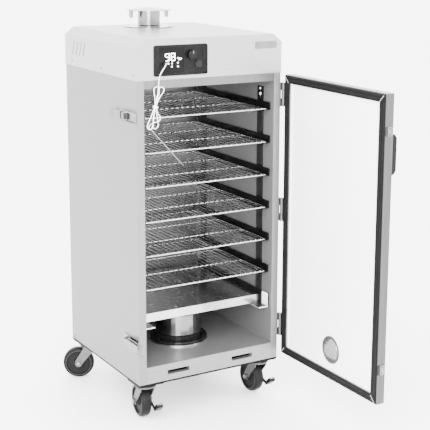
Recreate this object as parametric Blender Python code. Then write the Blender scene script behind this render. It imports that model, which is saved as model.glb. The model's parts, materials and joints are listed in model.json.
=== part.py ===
"""A cabinet food dehydrator on casters, with its door standing open.

All lengths are millimetres; MM turns them into metres where meshes are made.
Cabinet frame: x to the right, y into the cabinet, z up, with z = 0 under the
cabinet body and the body centred on x = y = 0. Pieces are drawn in this frame,
the door shut and the casters straight, and then hung on the empty of their joint.
"""

import math

import bmesh
import bpy
from mathutils import Matrix, Vector

MM = 0.001
GAP = 0.3  # between pieces that touch
BORE_PLAY = 0.06  # between a pin and the bore that turns on it

# The origin lies under the middle of the whole object, door open.
ORIGIN_SHIFT = (-8.5, 204.0, 115.0)

# Cabinet body
BODY_WIDTH = 424.0
BODY_DEPTH = 440.0
BODY_HEIGHT = 797.0
WALL = 20.0
FLOOR_LOW, FLOOR_HIGH = 30.0, 45.0
SILL_DEPTH, SILL_TOP = 16.0, 40.0
SILL_SLOTS_X = ((-130.0, -65.0), (66.0, 131.0))
SILL_SLOTS_Z = (15.5, 27.5)
CEILING_LOW = 776.0
HALF_WIDTH = BODY_WIDTH / 2
FRONT = -BODY_DEPTH / 2
BACK = BODY_DEPTH / 2
INSIDE_HALF = HALF_WIDTH - WALL

# Hood and what is on it
HOOD_HALF = HALF_WIDTH + 1.5
HOOD_FRONT = FRONT - 1.0
HOOD_BACK = BACK + 1.0
HOOD_SHOULDER = 879.0
HOOD_TOP = 900.0
HOOD_TOP_HALF = 187.5
SHEET = 3.0
PANEL_X = (-165.0, -12.0)
PANEL_Z = (806.0, 883.0)
PANEL_FRONT = FRONT - 2.5
PANEL_THICK = 8.0
WINDOW_X, WINDOW_Z = (-150.0, -80.0), (812.0, 877.0)
INSET_X, INSET_Z = (-76.0, -27.0), (821.0, 875.0)
KNOB_X, KNOB_Z = -60.0, 857.0
KNOB_RADIUS, KNOB_HIGH = 12.0, 13.5
BUTTON_X, BUTTON_Z = -39.0, 833.0
BUTTON_RADIUS = 9.5
BOARD_X, BOARD_Z = (-160.0, -18.0), (810.0, 876.0)
BADGE_X, BADGE_Z = (131.0, 197.0), (863.0, 881.0)
VENT_MIDDLE_Y, VENT_MIDDLE_Z = 128.0, 847.0
VENT_COUNT, VENT_PITCH = 4, 23.3
VENT_LONG, VENT_WIDE = 40.0, 5.0
VENT_LEAN = 8.0  # how far each end of a slot stands from its middle, towards the front at the top
INLET_X, INLET_Z = 130.0, 840.0
CHIMNEY_X, CHIMNEY_Y = 0.0, 130.0
PIPE_RADIUS, PIPE_WALL = 31.0, 2.5
PIPE_TOP = 945.5
FLANGE_RADIUS = 71.0
CAP_RADIUS = 63.0
CAP_TAB_X = 54.5

# Door, drawn shut, hinged at the right-hand front edge
HINGE_X, HINGE_Y = 220.0, FRONT - 3.0
HINGE_HEIGHTS = (738.0, 423.0, 96.0)
DOOR_X = (-216.0, 214.0)
DOOR_Z = (14.0, 792.0)
DOOR_OUTER = FRONT - 29.0
DOOR_INNER = FRONT - 5.0
DOOR_OPEN = 90.0
LINER_X, LINER_Z = (-194.0, 192.0), (36.0, 770.0)
LINER_FACE = DOOR_INNER - 4.5
AIR_X, AIR_Z = -14.0, 93.0
AIR_RADIUS, AIR_WALL = 33.0, 2.0
AIR_OUT = 19.0  # how far the air tube stands out of the door
HANDLE_X, HANDLE_Z = (-214.0, -195.0), (593.0, 695.0)
HANDLE_DEEP = 13.5
KEEPER_HEIGHTS = {"upper": (690.0, 713.0), "lower": (91.0, 116.0)}
HINGE_HALF_HEIGHT = 32.0
KNUCKLE_RADIUS, HINGE_PIN_RADIUS = 5.0, 2.5

# Racks, ladders and tray
RACK_HALF = 184.0
RACK_Y = (-204.0, 186.0)
RACK_THICK = 4.0
RACK_TOP = 700.0
RACK_PITCH = 90.0
RACK_COUNT = 6
RACK_GAPS = 23
RACK_WIRE = 3.0
RACK_BORDER = 5.0
RUNNER_Y = (-206.0, 188.0)
RUNNER_LOW, RUNNER_HIGH = 4.3, 16.0  # below and above the middle of its rack
LEDGE = 21.2  # how far a runner's ledge stands out
TRAY_LEDGE = 28.2
KEYHOLE_FRONT_Y, KEYHOLE_REAR_Y = (-160.0, -151.0), (152.0, 161.0)
POST_Z = (184.0, 755.0)
FRONT_POST_Y = (-170.0, -141.0)
REAR_POST_Y = (142.0, 172.0)
KEYHOLE_Z = (724.0, 743.0)
TRAY_HALF = 185.0
TRAY_Y = (-165.0, 186.0)
TRAY_LOW, TRAY_HIGH = 149.3, 172.0

# Smoker parts on the cabinet floor
PLATE_X, PLATE_Y = -8.0, -50.0
PLATE_RADIUS, PLATE_TOP = 81.0, 69.5
PAN_RADIUS, PAN_TOP = 64.0, 127.0

# Casters, drawn pointing forwards
KINGPIN_X, KINGPIN_Y = 176.0, 181.0
WHEEL_RADIUS = 44.5
WHEEL_WIDTH = 27.0
WHEEL_Z = -70.5
TRAIL = 32.0
AXLE_RADIUS = 4.0
FORK_HALF = 19.5
LEG_THICK = 2.5
PEDAL_HALF = 19.8  # from the middle of the wheel to the inner side of the brake pedal
CASTER_TURNS = {"front_left": -5.6, "front_right": 2.6, "rear_left": 62.0, "rear_right": 20.0}

# Toggle latches, drawn with the lever pointing forwards
LATCH_HEIGHTS = {"upper": 704.0, "lower": 108.0}
LATCH_PIVOT = (-222.0, -162.0)
LOOP_PIVOT = (-224.0, -180.0)
LOOP_BAR_Y = -269.0
LOOP_WIRE = 1.5
LATCH_PIN_RADIUS = 1.5
LATCH_HALF_HEIGHT = 14.0
LEVER_LONG = 76.0
LEVER_THROW = 175.0
LOOP_FOLLOWS = -0.989  # the loop turns back by this share of the lever's turn

# Meat probe
JACK_X, JACK_Z = -135.0, 838.0
PROBE_Y = -227.0
LEAD_RADIUS = 1.25
NEEDLE_RADIUS, FERRULE_RADIUS = 1.5, 2.4
NEEDLE_TOP, NEEDLE_TIP = (-175.0, PROBE_Y, 673.0), (-83.5, PROBE_Y, 573.0)

SHEET_STEEL = ((0.62, 0.62, 0.63), 0.32, 1.0)
BRIGHT_STEEL = ((0.80, 0.80, 0.81), 0.15, 1.0)
DARK_STEEL = ((0.25, 0.25, 0.26), 0.35, 1.0)
PALE_ZINC = ((0.70, 0.71, 0.72), 0.40, 0.9)
BLACK_PAINT = ((0.02, 0.02, 0.02), 0.45, 0.0)
BLACK_PLASTIC = ((0.015, 0.015, 0.015), 0.30, 0.0)
GREY_PLASTIC = ((0.35, 0.35, 0.36), 0.50, 0.0)
BLACK_RUBBER = ((0.02, 0.02, 0.02), 0.60, 0.0)
SMOKED_GLASS = ((0.02, 0.02, 0.025), 0.08, 0.0)
WHITE_SHEET = ((0.86, 0.86, 0.86), 0.40, 0.0)
CIRCUIT_GREEN = ((0.03, 0.20, 0.08), 0.50, 0.0)


# ---- shapes -------------------------------------------------------------------------


def new_shape(bm):
    """An unnamed object made of a bmesh drawn in millimetres, its faces turned outwards."""
    bmesh.ops.recalc_face_normals(bm, faces=bm.faces)
    bmesh.ops.scale(bm, vec=(MM, MM, MM), verts=bm.verts)
    mesh = bpy.data.meshes.new("shape")
    bm.to_mesh(mesh)
    bm.free()
    shape = bpy.data.objects.new("shape", mesh)
    bpy.context.scene.collection.objects.link(shape)
    return shape


def box(x, y, z):
    """A block between two values on each axis."""
    return prism([(x[0], y[0]), (x[1], y[0]), (x[1], y[1]), (x[0], y[1])], z, "z")


def spread(pair, axis, level):
    """The 3-D point of a pair of coordinates across an axis, at a level along it."""
    across = {"x": (level, *pair), "y": (pair[0], level, pair[1]), "z": (*pair, level)}
    return across[axis]


def prism(outline, span, axis):
    """An outline pushed along an axis, from one level to the other."""
    bm = bmesh.new()
    ends = [[bm.verts.new(spread(point, axis, level)) for point in outline] for level in span]
    bm.faces.new(ends[0])
    bm.faces.new(ends[1])
    for i in range(len(outline)):
        bm.faces.new((ends[0][i - 1], ends[0][i], ends[1][i], ends[1][i - 1]))
    return new_shape(bm)


def circle(centre, radius, sides=32):
    turns = [2 * math.pi * i / sides for i in range(sides)]
    return [(centre[0] + radius * math.cos(t), centre[1] + radius * math.sin(t)) for t in turns]


def rounded(across, up, radius, steps=4):
    """A rectangle with round corners, in the plane of a prism."""
    corners = [(across[1], up[1], 0), (across[0], up[1], 1), (across[0], up[0], 2), (across[1], up[0], 3)]
    outline = []
    for a, b, quarter in corners:
        middle_a = a - radius if quarter in (0, 3) else a + radius
        middle_b = b - radius if quarter in (0, 1) else b + radius
        for i in range(steps + 1):
            turn = math.pi / 2 * (quarter + i / steps)
            outline.append((middle_a + radius * math.cos(turn), middle_b + radius * math.sin(turn)))
    return outline


def rod(centre, radius, span, axis, sides=32):
    return prism(circle(centre, radius, sides), span, axis)


def lathe(profile, centre, axis, sides=32):
    """A closed profile of (radius, level) pairs turned about an axis through centre."""
    bm = bmesh.new()
    rings = []
    for radius, level in profile:
        if radius:
            rings.append([bm.verts.new(spread(p, axis, level)) for p in circle(centre, radius, sides)])
        else:
            rings.append([bm.verts.new(spread(centre, axis, level))] * sides)
    for a, b in zip(rings, rings[1:] + rings[:1]):
        for i in range(sides):
            corners = list(dict.fromkeys((a[i - 1], a[i], b[i], b[i - 1])))
            if len(corners) > 2:
                bm.faces.new(corners)
    return new_shape(bm)


def lattice(xs, ys, span, solid):
    """A flat plate of rectangular cells, some of them left open."""
    bm = bmesh.new()
    points = {}

    def corner(i, j, level):
        key = (i, j, level)
        if key not in points:
            points[key] = bm.verts.new((xs[i], ys[j], span[level]))
        return points[key]

    def filled(i, j):
        return 0 <= i < len(xs) - 1 and 0 <= j < len(ys) - 1 and solid(i, j)

    for i in range(len(xs) - 1):
        for j in range(len(ys) - 1):
            if not filled(i, j):
                continue
            around = [(i, j), (i + 1, j), (i + 1, j + 1), (i, j + 1)]
            for level in (0, 1):
                bm.faces.new([corner(a, b, level) for a, b in around])
            beyond = [(i, j - 1), (i + 1, j), (i, j + 1), (i - 1, j)]
            for side, neighbour in enumerate(beyond):
                if filled(*neighbour):
                    continue
                first, second = around[side], around[(side + 1) % 4]
                low = [corner(*first, 0), corner(*second, 0)]
                high = [corner(*second, 1), corner(*first, 1)]
                bm.faces.new(low + high)
    return new_shape(bm)


def wire(points, radius, closed=False, widths=None):
    """A curve object: a round wire through points in the cabinet frame. widths are shares of its radius."""
    curve = bpy.data.curves.new("shape", "CURVE")
    curve.dimensions = "3D"
    curve.bevel_depth = radius * MM
    curve.bevel_resolution = 2
    curve.use_fill_caps = not closed
    spline = curve.splines.new("POLY")
    spline.points.add(len(points) - 1)
    for target, point in zip(spline.points, points):
        target.co = (*(value * MM for value in point), 1.0)
    for target, width in zip(spline.points, widths or []):
        target.radius = width
    spline.use_cyclic_u = closed
    shape = bpy.data.objects.new("shape", curve)
    bpy.context.scene.collection.objects.link(shape)
    return shape


def smooth_route(points, steps, closed=False):
    """A Catmull-Rom curve read at even steps between hand-chosen points."""
    vectors = [Vector(p) for p in points]
    count = len(vectors)
    if not closed:
        vectors = [2 * vectors[0] - vectors[1], *vectors, 2 * vectors[-1] - vectors[-2]]
    route = []
    for i in range(count if closed else count - 1):
        if closed:
            p0, p1, p2, p3 = (vectors[(i + k) % count] for k in (-1, 0, 1, 2))
        else:
            p0, p1, p2, p3 = vectors[i : i + 4]
        for k in range(steps):
            t = k / steps
            bend = (2 * p0 - 5 * p1 + 4 * p2 - p3) * t**2 + (3 * p1 - p0 - 3 * p2 + p3) * t**3
            route.append(tuple((2 * p1 + (p2 - p0) * t + bend) / 2))
    if not closed:
        route.append(tuple(vectors[-2]))
    return route


def combine(shape, others, operation):
    """Applies one Boolean for each of the others and removes them."""
    for other in others:
        modifier = shape.modifiers.new("join", "BOOLEAN")
        modifier.object = other
        modifier.operation = operation
        modifier.solver = "EXACT"
    evaluated = shape.evaluated_get(bpy.context.evaluated_depsgraph_get())
    mesh = bpy.data.meshes.new_from_object(evaluated)
    shape.modifiers.clear()
    shape.data = mesh
    for other in others:
        bpy.data.objects.remove(other)
    return shape


def join(shape, *others):
    return combine(shape, others, "UNION")


def cut(shape, *others):
    return combine(shape, others, "DIFFERENCE")


# ---- scene --------------------------------------------------------------------------


def joint(name, pivot, parent=None, turn=0.0):
    """An empty on a joint's axis. turn, in degrees about z, is how far the piece stands turned at rest."""
    empty = bpy.data.objects.new(name, None)
    bpy.context.scene.collection.objects.link(empty)
    empty["pivot"] = list(pivot)
    start = Vector(parent["pivot"]) if parent else Vector((0, 0, 0))
    empty.location = (Vector(pivot) - start) * MM
    empty.rotation_euler = (0, 0, math.radians(turn))
    empty.parent = parent
    empty.empty_display_size = 0.02
    return empty


def look(name, colour, roughness, metallic):
    material = bpy.data.materials.new(name)
    material.use_nodes = True
    shader = material.node_tree.nodes["Principled BSDF"]
    shader.inputs["Base Color"].default_value = (*colour, 1.0)
    shader.inputs["Roughness"].default_value = roughness
    shader.inputs["Metallic"].default_value = metallic
    return material


def finish(name, shape, style, parent, smooth=False):
    """Names a shape, gives it its material and hangs it on its joint's empty."""
    shape.name = name
    shape.data.name = name
    shape.data.materials.clear()
    shape.data.materials.append(look(name, *style))
    shape.data.transform(Matrix.Translation(-Vector(parent["pivot"]) * MM))
    shape.parent = parent
    if smooth:
        shape.data.shade_smooth()
        shape.data.set_sharp_from_angle(angle=math.radians(35))
    return shape


# ---- cabinet body -------------------------------------------------------------------


def cabinet_walls(root):
    whole_depth, whole_height = (FRONT, BACK), (0, BODY_HEIGHT)
    left = box((-HALF_WIDTH, -INSIDE_HALF), whole_depth, whole_height)
    right = box((INSIDE_HALF, HALF_WIDTH), whole_depth, whole_height)
    between = (-INSIDE_HALF + GAP, INSIDE_HALF - GAP)
    finish("left_wall", left, SHEET_STEEL, root)
    finish("right_wall", right, SHEET_STEEL, root)
    finish("back_wall", box(between, (BACK - WALL, BACK), whole_height), SHEET_STEEL, root)

    inside_depth = (FRONT, BACK - WALL - GAP)
    ceiling = box(between, inside_depth, (CEILING_LOW, BODY_HEIGHT))
    hole = rod((CHIMNEY_X, CHIMNEY_Y), PIPE_RADIUS + 0.5, (CEILING_LOW - 10, BODY_HEIGHT + 10), "z")
    finish("ceiling_panel", cut(ceiling, hole), SHEET_STEEL, root)

    floor = box(between, inside_depth, (FLOOR_LOW, FLOOR_HIGH))
    sill = box(between, (FRONT, FRONT + SILL_DEPTH), (0, SILL_TOP))
    through = (FRONT - 10, FRONT + SILL_DEPTH + 10)
    slots = [prism(rounded(x, SILL_SLOTS_Z, 1, 1), through, "y") for x in SILL_SLOTS_X]
    finish("floor_pan", cut(join(floor, sill), *slots), SHEET_STEEL, root)


def base_frame(root):
    """The black plate under the body, with a pad and the upper half of a swivel at each corner."""
    base = box((-HALF_WIDTH, HALF_WIDTH), (FRONT, BACK), (-5, -GAP))
    pads = []
    for x in (-KINGPIN_X, KINGPIN_X):
        for y in (-KINGPIN_Y, KINGPIN_Y):
            pads.append(box((x - 36, x + 36), (y - 36, y + 36), (-8, -4)))
            pads.append(rod((x, y), 25, (-14, -7), "z", 20))
    finish("base_frame", join(base, *pads), BLACK_PAINT, root)


# ---- hood ---------------------------------------------------------------------------


def hood_outline(inset, low):
    """The hood's cross-section in x and z, moved inwards by inset."""
    half = HOOD_HALF - inset
    top_half = HOOD_TOP_HALF - inset * 0.4
    top = HOOD_TOP - inset
    shoulder = HOOD_SHOULDER - inset * 0.4
    return [(-half, low), (half, low), (half, shoulder), (top_half, top), (-top_half, top), (-half, shoulder)]


def vent_slots():
    """Four slots through each side of the hood, standing in a row and leaning forwards."""
    half_wide, half_long = VENT_WIDE / 2, VENT_LONG / 2
    slots = []
    for i in range(VENT_COUNT):
        y = VENT_MIDDLE_Y + (i - (VENT_COUNT - 1) / 2) * VENT_PITCH
        upright = rounded((y - half_wide, y + half_wide), (-half_long, half_long), 2.4, 1)
        outline = [(a - VENT_LEAN * b / half_long, VENT_MIDDLE_Z + b) for a, b in upright]
        slots.append(prism(outline, (-HOOD_HALF - 5, -HOOD_HALF + 8), "x"))
        slots.append(prism(outline, (HOOD_HALF - 8, HOOD_HALF + 5), "x"))
    return slots


def hood_shell(root):
    hood = prism(hood_outline(0, BODY_HEIGHT + GAP), (HOOD_FRONT, HOOD_BACK), "y")
    inside = prism(hood_outline(SHEET, BODY_HEIGHT - 20), (HOOD_FRONT + SHEET, HOOD_BACK - SHEET), "y")
    panel_x = (PANEL_X[0] - GAP, PANEL_X[1] + GAP)
    panel_z = (PANEL_Z[0] - GAP, PANEL_Z[1] + GAP)
    panel_hole = prism(rounded(panel_x, panel_z, 5 + GAP), (HOOD_FRONT - 5, HOOD_FRONT + SHEET + 5), "y")
    pipe_hole = rod((CHIMNEY_X, CHIMNEY_Y), PIPE_RADIUS + 0.5, (HOOD_TOP - 20, HOOD_TOP + 10), "z")
    inlet_x, inlet_z = around_inlet(14 + GAP, 10.5 + GAP)
    inlet_hole = box(inlet_x, (HOOD_BACK - 10, HOOD_BACK + 5), inlet_z)
    cut(hood, inside, panel_hole, pipe_hole, inlet_hole, *vent_slots())
    finish("hood_shell", hood, SHEET_STEEL, root)


def around_inlet(half_wide, half_high):
    """The x and z of a rectangle centred on the power inlet."""
    return (INLET_X - half_wide, INLET_X + half_wide), (INLET_Z - half_high, INLET_Z + half_high)


def power_inlet(root):
    """A three-pin appliance inlet in the back of the hood."""
    housing_x, housing_z = around_inlet(14, 10.5)
    housing = box(housing_x, (HOOD_BACK - 26, HOOD_BACK + 2), housing_z)
    flange = prism(rounded(*around_inlet(25, 14), 6), (HOOD_BACK + GAP, HOOD_BACK + 3), "y")
    recess = prism(rounded(*around_inlet(12, 8.3), 3), (HOOD_BACK - 15, HOOD_BACK + 8), "y")
    body = cut(join(housing, flange), recess)
    pins = []
    for across, up in ((-7, -2), (0, 2), (7, -2)):
        x, z = INLET_X + across, INLET_Z + up
        pins.append(box((x - 2, x + 2), (HOOD_BACK - 17, HOOD_BACK - 3), (z - 1, z + 1)))
    finish("power_inlet", join(body, *pins), BLACK_PLASTIC, root)


def control_panel(root):
    """The black panel with a pocket for its window and a shallow one round the knob and button."""
    back = PANEL_FRONT + PANEL_THICK
    panel = prism(rounded(PANEL_X, PANEL_Z, 5), (PANEL_FRONT, back), "y")
    window = box(WINDOW_X, (PANEL_FRONT - 5, PANEL_FRONT + 3), WINDOW_Z)
    inset = prism(rounded(INSET_X, INSET_Z, 3), (PANEL_FRONT - 5, PANEL_FRONT + 1), "y")
    shaft = rod((KNOB_X, KNOB_Z), 3 + BORE_PLAY, (PANEL_FRONT - 5, back + 5), "y")
    button = rod((BUTTON_X, BUTTON_Z), BUTTON_RADIUS + BORE_PLAY, (PANEL_FRONT - 5, back + 5), "y")
    finish("control_panel", cut(panel, window, inset, shaft, button), BLACK_PLASTIC, root)


def display_window(root):
    x = (WINDOW_X[0] + GAP, WINDOW_X[1] - GAP)
    z = (WINDOW_Z[0] + GAP, WINDOW_Z[1] - GAP)
    window = box(x, (PANEL_FRONT + 0.4, PANEL_FRONT + 3 - GAP), z)
    finish("display_window", window, SMOKED_GLASS, root)


def control_knob(root):
    axis = joint("knob_axis", (KNOB_X, PANEL_FRONT, KNOB_Z), root)
    front = PANEL_FRONT - KNOB_HIGH
    face = PANEL_FRONT + 1 - GAP
    profile = [(0, front), (KNOB_RADIUS - 1.5, front), (KNOB_RADIUS, front + 1.5), (KNOB_RADIUS, face)]
    profile += [(3, face), (3, face + 10.5), (0, face + 10.5)]
    knob = lathe(profile, (KNOB_X, KNOB_Z), "y")
    finish("control_knob", knob, BLACK_PLASTIC, axis, smooth=True)


def power_button(root):
    axis = joint("button_axis", (BUTTON_X, PANEL_FRONT, BUTTON_Z), root)
    front, back = PANEL_FRONT - 3.5, PANEL_FRONT + 8.5
    profile = [(0, front), (BUTTON_RADIUS - 0.8, front), (BUTTON_RADIUS, front + 0.8)]
    profile += [(BUTTON_RADIUS, back), (0, back)]
    button = lathe(profile, (BUTTON_X, BUTTON_Z), "y")
    finish("power_button", button, GREY_PLASTIC, axis, smooth=True)


def control_board(root):
    """The circuit board behind the panel, with a relay, a transformer and a terminal strip on its back."""
    board_y = PANEL_FRONT + 20
    board = box(BOARD_X, (board_y, board_y + 2), BOARD_Z)
    parts = [
        box((-150, -118), (board_y + 1, board_y + 24), (820, 848)),
        box((-105, -85), (board_y + 1, board_y + 17), (822, 838)),
        box((-78, -58), (board_y + 1, board_y + 17), (822, 838)),
        box((-110, -40), (board_y + 1, board_y + 12), (856, 868)),
    ]
    finish("control_board", join(board, *parts), CIRCUIT_GREEN, root)


def badge_plate(root):
    plate = prism(rounded(BADGE_X, BADGE_Z, 2), (HOOD_FRONT - GAP - 1.3, HOOD_FRONT - GAP), "y")
    finish("badge_plate", plate, BRIGHT_STEEL, root)


def chimney(root):
    foot = CEILING_LOW + 3
    bore = PIPE_RADIUS - PIPE_WALL
    pipe_profile = [
        (bore, foot),
        (PIPE_RADIUS, foot),
        (PIPE_RADIUS, HOOD_TOP + GAP),
        (FLANGE_RADIUS, HOOD_TOP + GAP),
        (FLANGE_RADIUS, HOOD_TOP + 2.3),
        (PIPE_RADIUS, HOOD_TOP + 2.3),
        (PIPE_RADIUS, PIPE_TOP),
        (bore, PIPE_TOP),
    ]
    centre = (CHIMNEY_X, CHIMNEY_Y)
    finish("chimney_pipe", lathe(pipe_profile, centre, "z"), BRIGHT_STEEL, root, smooth=True)

    axis = joint("cap_axis", (*centre, PIPE_TOP), root)
    low = PIPE_TOP + 0.5
    cap_profile = [
        (0, PIPE_TOP + 8.5),
        (CAP_RADIUS, low + 1.5),
        (CAP_RADIUS, low),
        (28, low),
        (28, PIPE_TOP - 13.5),
        (26, PIPE_TOP - 13.5),
        (26, low + 1.5),
        (0, low + 5),
    ]
    y = CHIMNEY_Y
    outline = [(y - 13, low + 1), (y + 13, low + 1), (y + 7.5, low - 21), (y - 7.5, low - 21)]
    tabs = []
    for x in (CHIMNEY_X - CAP_TAB_X, CHIMNEY_X + CAP_TAB_X):
        tabs.append(prism(outline, (x - 1, x + 1), "x"))
    cap = join(lathe(cap_profile, centre, "z"), *tabs)
    finish("chimney_cap", cap, BRIGHT_STEEL, axis, smooth=True)


# ---- door ---------------------------------------------------------------------------


def door_body(door):
    """Outer tray, inner panel and the rubber seal round it."""
    air = (AIR_X, AIR_Z)
    through = (DOOR_OUTER - 5, DOOR_INNER + 5)

    shell = box(DOOR_X, (DOOR_OUTER, DOOR_INNER), DOOR_Z)
    pocket = box(LINER_X, (DOOR_OUTER + SHEET, DOOR_INNER + 5), LINER_Z)
    cut(shell, pocket, rod(air, AIR_RADIUS + GAP, through, "y"))
    finish("door_shell", shell, SHEET_STEEL, door)

    x = (LINER_X[0] + GAP, LINER_X[1] - GAP)
    z = (LINER_Z[0] + GAP, LINER_Z[1] - GAP)
    liner = box(x, (DOOR_OUTER + SHEET + GAP, LINER_FACE), z)
    finish("door_liner", cut(liner, rod(air, AIR_RADIUS + GAP, through, "y")), WHITE_SHEET, door)

    seal_y = (DOOR_INNER + GAP, FRONT - 0.6)
    seal = box((DOOR_X[0] + 2, DOOR_X[1] - 2), seal_y, (DOOR_Z[0] + 2, DOOR_Z[1] - 2))
    middle = box(LINER_X, through, LINER_Z)
    finish("door_gasket", cut(seal, middle), BLACK_RUBBER, door)


def door_air_tube(door):
    """The open air inlet low in the door: a tube with a flange against the inner panel."""
    face = LINER_FACE + GAP
    bore = AIR_RADIUS - AIR_WALL
    flange = AIR_RADIUS + 4
    profile = [
        (bore, DOOR_OUTER - AIR_OUT),
        (AIR_RADIUS, DOOR_OUTER - AIR_OUT),
        (AIR_RADIUS, face),
        (flange, face),
        (flange, face + 1.5),
        (bore, face + 1.5),
    ]
    finish("door_air_tube", lathe(profile, (AIR_X, AIR_Z), "y"), BRIGHT_STEEL, door, smooth=True)


def door_handle(door):
    """A grip plate with sloping ends on the outside of the door."""
    back = DOOR_OUTER - GAP
    front = back - HANDLE_DEEP
    low, high = HANDLE_Z
    outline = [(back, low), (back, high), (back - 8, high - 3), (front, high - 11)]
    outline += [(front, low + 11), (back - 8, low + 3)]
    finish("door_handle", prism(outline, HANDLE_X, "x"), BLACK_PLASTIC, door)


def keepers(door):
    """The hooks on the door's free edge that the latch loops pull on."""
    face = DOOR_X[0] - GAP
    for place, z in KEEPER_HEIGHTS.items():
        plate = box((face - 1.7, face), (-246, -226), z)
        lip = box((face - 5.9, face - 0.5), (-231, -229), z)
        finish(f"keeper_{place}", join(plate, lip), BRIGHT_STEEL, door)


def hinges(root, door):
    """Three butt hinges: the pin and outer knuckles on the body, the middle knuckle on the door."""
    axis = (HINGE_X, HINGE_Y)
    wall = HALF_WIDTH + GAP
    edge = DOOR_X[1] + GAP
    bore_radius = HINGE_PIN_RADIUS + BORE_PLAY
    for place, z in zip(("top", "middle", "bottom"), HINGE_HEIGHTS):
        whole = (z - HINGE_HALF_HEIGHT, z + HINGE_HALF_HEIGHT)
        plate = box((wall, wall + 2.5), (FRONT + 0.5, FRONT + 32), whole)
        body_parts = [rod(axis, HINGE_PIN_RADIUS, whole, "z", 24)]
        for span in ((whole[0], z - 11), (z + 11, whole[1])):
            body_parts.append(rod(axis, KNUCKLE_RADIUS, span, "z", 24))
            body_parts.append(box((wall, HINGE_X), (FRONT + 0.3, FRONT + 3), span))
        finish(f"hinge_{place}_body_leaf", join(plate, *body_parts), PALE_ZINC, root)

        leaf = box((edge, edge + 2), (DOOR_OUTER + 3, DOOR_INNER - 2.5), whole)
        bridge = box((edge + 0.1, HINGE_X), (DOOR_INNER - 4.5, DOOR_INNER - 0.5), (z - 10, z + 10))
        knuckle = rod(axis, KNUCKLE_RADIUS, (z - 10.5, z + 10.5), "z", 24)
        bore = rod(axis, bore_radius, (z - 40, z + 40), "z", 24)
        leaf = cut(join(leaf, bridge, knuckle), bore)
        finish(f"hinge_{place}_door_leaf", leaf, PALE_ZINC, door)


# ---- racks and tray -----------------------------------------------------------------


def rack_lines():
    """Where wires and gaps change over, from side to side and from front to back."""
    pitch = (2 * (RACK_HALF - RACK_BORDER) + RACK_WIRE) / RACK_GAPS
    xs = [-RACK_HALF]
    for i in range(RACK_GAPS):
        left = -RACK_HALF + RACK_BORDER + i * pitch
        xs += [left, left + pitch - RACK_WIRE]
    xs.append(RACK_HALF)
    return xs, [RACK_Y[0], RACK_Y[0] + RACK_BORDER, RACK_Y[1] - RACK_BORDER, RACK_Y[1]]


def racks(root):
    xs, ys = rack_lines()
    half = RACK_THICK / 2
    for i in range(RACK_COUNT):
        z = RACK_TOP - RACK_PITCH * i
        axis = joint(f"rack_{i + 1}_axis", (0, RACK_Y[0], z), root)
        rack = lattice(xs, ys, (z - half, z + half), lambda a, b: a % 2 == 0 or b % 2 == 0)
        finish(f"rack_{i + 1}", rack, BRIGHT_STEEL, axis)


def ladder(name, side, root):
    """The posts and runners on one wall. side is 1 on the right and -1 on the left."""

    def block(x, y, z):
        return box(sorted((side * x[0], side * x[1])), y, z)

    outer = INSIDE_HALF - GAP
    frame = block((outer - 2, outer), FRONT_POST_Y, POST_Z)
    parts = [block((outer - 2, outer), REAR_POST_Y, POST_Z)]
    for i in range(RACK_COUNT):
        z = RACK_TOP - RACK_PITCH * i
        low = z - RUNNER_LOW
        parts.append(block((outer - 4.2, outer - 1.5), RUNNER_Y, (low, z + RUNNER_HIGH)))
        parts.append(block((outer - 2.5 - LEDGE, outer - 2.5), RUNNER_Y, (low, low + 2)))
    channel_y = (RUNNER_Y[0] - 2, RUNNER_Y[1])
    low = TRAY_LOW - 2.3
    parts.append(block((outer - 4.2, outer - 1.5), channel_y, (low, POST_Z[0] + 2)))
    parts.append(block((outer - 2.5 - TRAY_LEDGE, outer - 2.5), channel_y, (low, low + 2)))
    join(frame, *parts)
    keyholes = [
        prism(rounded(y, KEYHOLE_Z, 4), sorted((side * (outer - 3), side * (outer + 1))), "x")
        for y in (KEYHOLE_FRONT_Y, KEYHOLE_REAR_Y)
    ]
    finish(name, cut(frame, *keyholes), DARK_STEEL, root)


def drip_tray(root):
    """A shallow tray turned upside down, on the lowest runners."""
    axis = joint("tray_axis", (0, TRAY_Y[0], TRAY_HIGH), root)
    tray = box((-TRAY_HALF, TRAY_HALF), TRAY_Y, (TRAY_LOW, TRAY_HIGH))
    inside = TRAY_HALF - 2
    hollow = box((-inside, inside), (TRAY_Y[0] + 2, TRAY_Y[1] - 2), (TRAY_LOW - 10, TRAY_HIGH - 2))
    finish("drip_tray", cut(tray, hollow), BRIGHT_STEEL, axis)


def hot_plate(root):
    """A black heating plate on a wider foot."""
    low = FLOOR_HIGH + GAP
    top, rim = PLATE_TOP, PLATE_RADIUS
    profile = [(0, low), (rim, low), (rim, low + 7.7), (rim - 2, low + 10.7), (rim - 16, low + 10.7)]
    profile += [(rim - 16, top - 1.5), (rim - 17.5, top), (0, top)]
    finish("hot_plate", lathe(profile, (PLATE_X, PLATE_Y), "z"), BLACK_PAINT, root, smooth=True)


def chip_pan(root):
    """An open pan for wood chips, standing on the plate."""
    low, top = PLATE_TOP + GAP, PAN_TOP
    axis = joint("pan_axis", (PLATE_X, PLATE_Y, low), root)
    outer, inner = PAN_RADIUS, PAN_RADIUS - 1.5
    profile = [(0, low), (inner, low), (outer, low + 1.5), (outer, top)]
    profile += [(inner, top), (inner, low + 2), (0, low + 2)]
    finish("chip_pan", lathe(profile, (PLATE_X, PLATE_Y), "z"), BRIGHT_STEEL, axis, smooth=True)


# ---- casters ------------------------------------------------------------------------


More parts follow.
